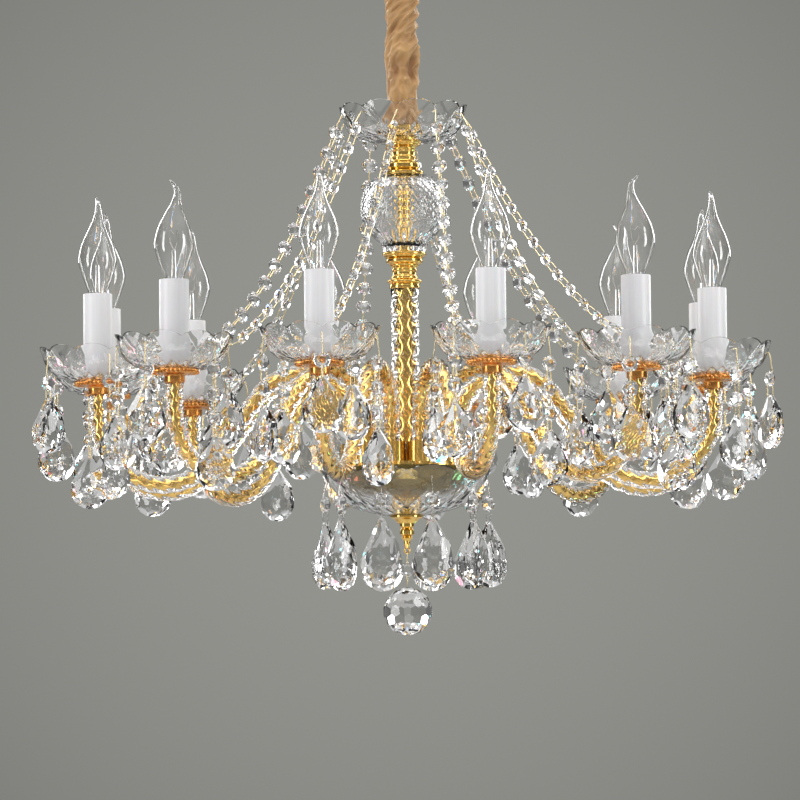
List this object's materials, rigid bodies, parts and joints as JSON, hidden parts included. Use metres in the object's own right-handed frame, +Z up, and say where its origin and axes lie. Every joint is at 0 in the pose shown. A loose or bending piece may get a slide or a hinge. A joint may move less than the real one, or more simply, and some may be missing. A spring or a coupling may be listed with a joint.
{
  "type": "crystal chandelier",
  "caption": "Crystal chandelier with candle-style lamps on curved glass arms, bead garlands, almond drops and a ball pendant, hung by a sleeved chain.",
  "frame": {"origin": "centre of the ceiling bracket's fixing holes, in the ceiling plane, on the fixture's axis", "axes": "+Z up, -Y towards the pictured front, +X to the right seen from the front"},
  "size_m": [0.6723, 0.6656, 0.6737],
  "materials": {
    "crystal": "clear polished cut crystal",
    "brass": "polished yellow gold plating",
    "pan_brass": "darker polished brass",
    "gallery_brass": "copper-gold cast openwork",
    "wire": "pale gold plated wire",
    "satin_fabric": "gathered tan-gold satin",
    "candle_plastic": "satin white",
    "holder_plastic": "plain off-white",
    "lamp_glass": "clear blown glass",
    "filament": "fine grey wire",
    "zinc_steel": "zinc-plated sheet"
  },
  "bodies": {
    "ceiling": {"ceiling_bracket": "zinc_steel", "canopy": "brass", "canopy_collar": "brass", "hanging_hook": "brass"},
    "first_link": {"swivel_link": "brass"},
    "chandelier": {"chain_links": "brass", "fabric_sleeve": "satin_fabric", "top_loop": "brass", "top_bowl": "crystal", "upper_neck": "brass", "baluster": "crystal", "stem_collar": "brass", "column": "crystal", "centre_rod": "brass", "arm_receiver": "brass", "arm_nuts": "brass", "receiver_pan": "pan_brass", "pan_spacer": "brass", "bottom_bowl": "crystal", "end_cap": "brass", "finial": "brass", "glass_arms": "crystal", "arm_tubes": "brass", "gallery_rings": "gallery_brass", "bobeches": "crystal", "lamp_holders": "holder_plastic", "candle_sleeves": "candle_plastic", "lamp_caps": "brass", "bulbs": "lamp_glass", "bulb_stems": "lamp_glass", "bulb_filaments": "filament", "bobeche_drops": "crystal", "drop_wires": "wire", "garland_beads": "crystal", "garland_wires": "wire"},
    "drop_01": {"bottom_drop_01": "crystal"},
    "drop_02": {"bottom_drop_02": "crystal"},
    "drop_03": {"bottom_drop_03": "crystal"},
    "drop_04": {"bottom_drop_04": "crystal"},
    "drop_05": {"bottom_drop_05": "crystal"},
    "drop_06": {"bottom_drop_06": "crystal"},
    "drop_07": {"bottom_drop_07": "crystal"},
    "drop_08": {"bottom_drop_08": "crystal"},
    "drop_09": {"bottom_drop_09": "crystal"},
    "drop_10": {"bottom_drop_10": "crystal"},
    "pendant_upper": {"pendant_hook": "wire", "pendant_bead": "crystal"},
    "pendant_lower": {"pendant_link": "wire", "pendant_ball": "crystal"}
  },
  "joints": [
    {"name": "sway_front", "type": "hinge", "parent": "ceiling", "child": "first_link", "pos_m": [0, 0, -0.0647], "axis": [1, 0, 0], "range_deg": [-8, 8]},
    {"name": "sway_side", "type": "hinge", "parent": "first_link", "child": "chandelier", "pos_m": [0, 0, -0.08396], "axis": [0, 1, 0], "range_deg": [-8, 8]},
    {"name": "drop_swing_01", "type": "hinge", "parent": "chandelier", "child": "drop_01", "pos_m": [0.02166, -0.06665, -0.534], "axis": [-0.9511, -0.309, 0], "range_deg": [-8, 18]},
    {"name": "drop_swing_02", "type": "hinge", "parent": "chandelier", "child": "drop_02", "pos_m": [0.0567, -0.04119, -0.534], "axis": [-0.5878, -0.809, 0], "range_deg": [-8, 18]},
    {"name": "drop_swing_03", "type": "hinge", "parent": "chandelier", "child": "drop_03", "pos_m": [0.07008, 0, -0.534], "axis": [0, -1, 0], "range_deg": [-8, 18]},
    {"name": "drop_swing_04", "type": "hinge", "parent": "chandelier", "child": "drop_04", "pos_m": [0.0567, 0.04119, -0.534], "axis": [0.5878, -0.809, 0], "range_deg": [-8, 18]},
    {"name": "drop_swing_05", "type": "hinge", "parent": "chandelier", "child": "drop_05", "pos_m": [0.02166, 0.06665, -0.534], "axis": [0.9511, -0.309, 0], "range_deg": [-8, 18]},
    {"name": "drop_swing_06", "type": "hinge", "parent": "chandelier", "child": "drop_06", "pos_m": [-0.02166, 0.06665, -0.534], "axis": [0.9511, 0.309, 0], "range_deg": [-8, 18]},
    {"name": "drop_swing_07", "type": "hinge", "parent": "chandelier", "child": "drop_07", "pos_m": [-0.0567, 0.04119, -0.534], "axis": [0.5878, 0.809, 0], "range_deg": [-8, 18]},
    {"name": "drop_swing_08", "type": "hinge", "parent": "chandelier", "child": "drop_08", "pos_m": [-0.07008, 0, -0.534], "axis": [0, 1, 0], "range_deg": [-8, 18]},
    {"name": "drop_swing_09", "type": "hinge", "parent": "chandelier", "child": "drop_09", "pos_m": [-0.0567, -0.04119, -0.534], "axis": [-0.5878, 0.809, 0], "range_deg": [-8, 18]},
    {"name": "drop_swing_10", "type": "hinge", "parent": "chandelier", "child": "drop_10", "pos_m": [-0.02166, -0.06665, -0.534], "axis": [-0.9511, 0.309, 0], "range_deg": [-8, 18]},
    {"name": "pendant_front", "type": "hinge", "parent": "chandelier", "child": "pendant_upper", "pos_m": [0, 0, -0.5998], "axis": [1, 0, 0], "range_deg": [-20, 20]},
    {"name": "pendant_side", "type": "hinge", "parent": "pendant_upper", "child": "pendant_lower", "pos_m": [0, 0, -0.6195], "axis": [0, 1, 0], "range_deg": [-20, 20]}
  ]
}
